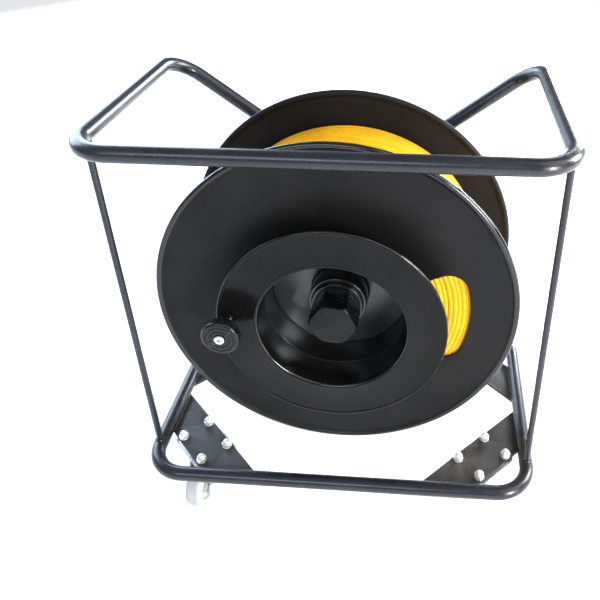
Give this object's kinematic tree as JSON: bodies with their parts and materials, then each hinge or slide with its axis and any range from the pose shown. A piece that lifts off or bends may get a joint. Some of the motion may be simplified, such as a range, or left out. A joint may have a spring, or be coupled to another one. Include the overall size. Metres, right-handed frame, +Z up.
{
  "type": "fish tape reel",
  "caption": "Open tubular frame on swivel casters that carries a flanged drum of yellow fish tape, with a side compartment and a crank knob.",
  "frame": {"origin": "on the floor under the wheels, at the centre of the tubular frame", "axes": "+X to the user's right as they face the crank knob, +Y from the crank side to the bearing plate at the back, +Z up; the drum turns about a line along Y"},
  "size_m": [0.446, 0.282, 0.482],
  "materials": {
    "frame_paint": "glossy black powder coat",
    "plate_paint": "satin black powder coat",
    "drum_paint": "glossy black enamel",
    "black_plastic": "moulded, semi-gloss",
    "steel": "ground",
    "bright_zinc": "bright zinc plate",
    "caster_zinc": "clear zinc plate",
    "caster_wheel": "moulded pale grey nylon",
    "yellow_tape": "glossy sheath"
  },
  "bodies": {
    "frame": {"top_frame_tube": "frame_paint", "bottom_frame_ring": "frame_paint", "left_front_upright": "frame_paint", "right_front_upright": "frame_paint", "left_lower_brace": "frame_paint", "right_lower_brace": "frame_paint", "bearing_plate": "plate_paint", "axle_boss": "plate_paint", "axle": "steel", "axle_washer": "bright_zinc", "axle_nut": "bright_zinc", "front_left_corner_plate": "plate_paint", "front_right_corner_plate": "plate_paint", "back_left_corner_plate": "plate_paint", "back_right_corner_plate": "plate_paint", "corner_bolts": "bright_zinc", "cap_nuts": "bright_zinc", "front_left_caster_plate": "caster_zinc", "front_right_caster_plate": "caster_zinc", "back_left_caster_plate": "caster_zinc", "back_right_caster_plate": "caster_zinc", "caster_kingpins": "caster_zinc"},
    "drum": {"rear_flange": "drum_paint", "front_flange": "drum_paint", "drum_core": "drum_paint", "side_core": "drum_paint", "side_flange": "drum_paint", "hub_disc": "drum_paint", "hub_tube": "drum_paint", "hub_collar": "drum_paint", "front_bearing": "steel", "rear_bearing": "steel", "hub_cap": "black_plastic", "knob_stud": "bright_zinc", "knob_stud_nut": "bright_zinc", "tape_winding": "yellow_tape"},
    "knob": {"crank_knob": "black_plastic"},
    "front_left_swivel_fork": {"front_left_fork": "caster_zinc", "front_left_wheel_pin": "caster_zinc"},
    "front_left_caster_wheel": {"front_left_wheel": "caster_wheel"},
    "front_right_swivel_fork": {"front_right_fork": "caster_zinc", "front_right_wheel_pin": "caster_zinc"},
    "front_right_caster_wheel": {"front_right_wheel": "caster_wheel"},
    "back_left_swivel_fork": {"back_left_fork": "caster_zinc", "back_left_wheel_pin": "caster_zinc"},
    "back_left_caster_wheel": {"back_left_wheel": "caster_wheel"},
    "back_right_swivel_fork": {"back_right_fork": "caster_zinc", "back_right_wheel_pin": "caster_zinc"},
    "back_right_caster_wheel": {"back_right_wheel": "caster_wheel"}
  },
  "joints": [
    {"name": "drum_spin", "type": "hinge", "parent": "frame", "child": "drum", "pos_m": [0, -0.073, 0.274], "axis": [0, 1, 0], "continuous": true},
    {"name": "knob_spin", "type": "hinge", "parent": "drum", "child": "knob", "pos_m": [-0.10425, -0.125, 0.28129], "axis": [0, 1, 0], "continuous": true},
    {"name": "front_left_swivel", "type": "hinge", "parent": "frame", "child": "front_left_swivel_fork", "pos_m": [-0.165, -0.083, 0.055], "axis": [0, 0, 1], "continuous": true},
    {"name": "front_left_wheel_roll", "type": "hinge", "parent": "front_left_swivel_fork", "child": "front_left_caster_wheel", "pos_m": [-0.16817, -0.10881, 0.025], "axis": [0.9925, -0.1219, 0], "continuous": true},
    {"name": "front_right_swivel", "type": "hinge", "parent": "frame", "child": "front_right_swivel_fork", "pos_m": [0.165, -0.083, 0.055], "axis": [0, 0, 1], "continuous": true},
    {"name": "front_right_wheel_roll", "type": "hinge", "parent": "front_right_swivel_fork", "child": "front_right_caster_wheel", "pos_m": [0.17217, -0.05801, 0.025], "axis": [-0.9613, 0.2756, 0], "continuous": true},
    {"name": "back_left_swivel", "type": "hinge", "parent": "frame", "child": "back_left_swivel_fork", "pos_m": [-0.165, 0.083, 0.055], "axis": [0, 0, 1], "continuous": true},
    {"name": "back_left_wheel_roll", "type": "hinge", "parent": "back_left_swivel_fork", "child": "back_left_caster_wheel", "pos_m": [-0.16951, 0.1086, 0.025], "axis": [-0.9848, -0.1736, 0], "continuous": true},
    {"name": "back_right_swivel", "type": "hinge", "parent": "frame", "child": "back_right_swivel_fork", "pos_m": [0.165, 0.083, 0.055], "axis": [0, 0, 1], "continuous": true},
    {"name": "back_right_wheel_roll", "type": "hinge", "parent": "back_right_swivel_fork", "child": "back_right_caster_wheel", "pos_m": [0.16862, 0.10875, 0.025], "axis": [-0.9903, 0.1392, 0], "continuous": true}
  ]
}
